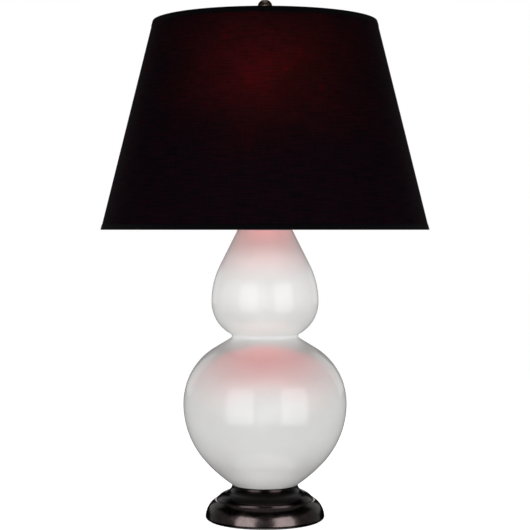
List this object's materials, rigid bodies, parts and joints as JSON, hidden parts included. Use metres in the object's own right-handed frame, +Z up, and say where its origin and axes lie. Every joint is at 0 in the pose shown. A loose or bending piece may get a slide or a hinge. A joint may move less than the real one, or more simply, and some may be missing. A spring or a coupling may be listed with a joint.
{
  "type": "double gourd table lamp",
  "caption": "Table lamp with a glazed double gourd body, dark cast foot, lined cone shade on a harp, turn switch and ball finial.",
  "frame": {"origin": "centre of the foot's underside, on the table", "axes": "+Z up the lamp's axis, switch knob towards -Y, cord outlet towards +Y, harp in the X-Z plane"},
  "size_m": [0.4972, 0.4972, 0.7893],
  "materials": {
    "felt": "pressed felt, matt",
    "dark_bronze": "dark bronzed casting, satin lacquer",
    "finial_bronze": "aged bronze, satin",
    "ballast_iron": "raw casting",
    "zinc_steel": "zinc plated",
    "bush_plastic": "moulded nylon",
    "gasket_rubber": "matt",
    "white_glaze": "glossy off-white glaze",
    "lamp_brass": "satin brass",
    "harp_nickel": "satin nickel plate",
    "fibre_paper": "vulcanised fibre",
    "phenolic": "moulded phenolic",
    "knob_plastic": "moulded, glossy",
    "cap_aluminium": "bright rolled",
    "black_glass": "opaque fused glass",
    "frosted_glass": "inside frosted",
    "clear_glass": "clear",
    "lead_wire": "drawn wire",
    "shade_linen": "dark slub linen weave",
    "shade_lining": "smooth red lining",
    "shade_trim": "dark folded tape",
    "shade_frame": "brassed wire"
  },
  "bodies": {
    "base": {"foot_pad": "felt", "base_shell": "dark_bronze", "base_weight": "ballast_iron", "cord_bush": "bush_plastic", "base_washer": "zinc_steel", "base_lock_washer": "zinc_steel", "base_nut": "zinc_steel", "lamp_pipe": "zinc_steel", "base_gasket": "gasket_rubber", "gourd_body": "white_glaze", "vase_cap": "lamp_brass", "neck_tube": "lamp_brass", "neck_nut": "zinc_steel", "harp_saddle": "harp_nickel", "socket_cap": "lamp_brass", "socket_barrel": "lamp_brass", "socket_liner": "fibre_paper", "socket_block": "phenolic", "socket_screw_shell": "lamp_brass", "socket_contact": "lamp_brass", "terminal_screws": "lamp_brass"},
    "switch": {"switch_shaft": "lamp_brass", "switch_knob": "knob_plastic"},
    "bulb_lift": {"bulb_contact": "cap_aluminium"},
    "bulb": {"bulb_disc": "black_glass", "bulb_screw_cap": "cap_aluminium", "bulb_glass": "frosted_glass", "bulb_stem": "clear_glass", "bulb_leads": "lead_wire", "bulb_filament": "lead_wire"},
    "harp": {"harp_wire": "harp_nickel", "harp_stud": "harp_nickel"},
    "ferrule_left": {"ferrule_left": "harp_nickel"},
    "ferrule_right": {"ferrule_right": "harp_nickel"},
    "shade": {"shade_cloth": "shade_linen", "shade_liner": "shade_lining", "shade_top_ring": "shade_frame", "shade_top_trim": "shade_trim", "shade_bottom_ring": "shade_frame", "shade_bottom_trim": "shade_trim", "shade_spider": "shade_frame"},
    "finial_lift": {"finial_insert": "lamp_brass"},
    "finial": {"finial_knob": "finial_bronze"}
  },
  "joints": [
    {"name": "switch_turn", "type": "hinge", "parent": "base", "child": "switch", "pos_m": [0, -0.02, 0.5469], "axis": [0, -1, 0], "continuous": true},
    {"name": "bulb_rise", "type": "slide", "parent": "base", "child": "bulb_lift", "axis": [0, 0, 1], "range_m": [0, 0.00907]},
    {"name": "bulb_turn", "type": "hinge", "parent": "bulb_lift", "child": "bulb", "pos_m": [0, 0, 0.6], "axis": [0, 0, 1], "range_deg": [0, 900]},
    {"name": "harp_lift", "type": "slide", "parent": "base", "child": "harp", "axis": [0, 0, 1], "range_m": [0, 0.03]},
    {"name": "ferrule_left_slide", "type": "slide", "parent": "harp", "child": "ferrule_left", "axis": [0, 0, 1], "range_m": [0, 0.013]},
    {"name": "ferrule_right_slide", "type": "slide", "parent": "harp", "child": "ferrule_right", "axis": [0, 0, 1], "range_m": [0, 0.013]},
    {"name": "shade_swivel", "type": "hinge", "parent": "harp", "child": "shade", "pos_m": [0, 0, 0.742], "axis": [0, 0, 1], "continuous": true},
    {"name": "finial_rise", "type": "slide", "parent": "harp", "child": "finial_lift", "axis": [0, 0, 1], "range_m": [0, 0.0094]},
    {"name": "finial_turn", "type": "hinge", "parent": "finial_lift", "child": "finial", "pos_m": [0, 0, 0.76], "axis": [0, 0, 1], "range_deg": [0, 3600]}
  ],
  "couplings": [
    {"joint": "bulb_turn", "follows": "bulb_rise", "rad_per_m": 1731.4},
    {"joint": "finial_turn", "follows": "finial_rise", "rad_per_m": 6677.1}
  ]
}
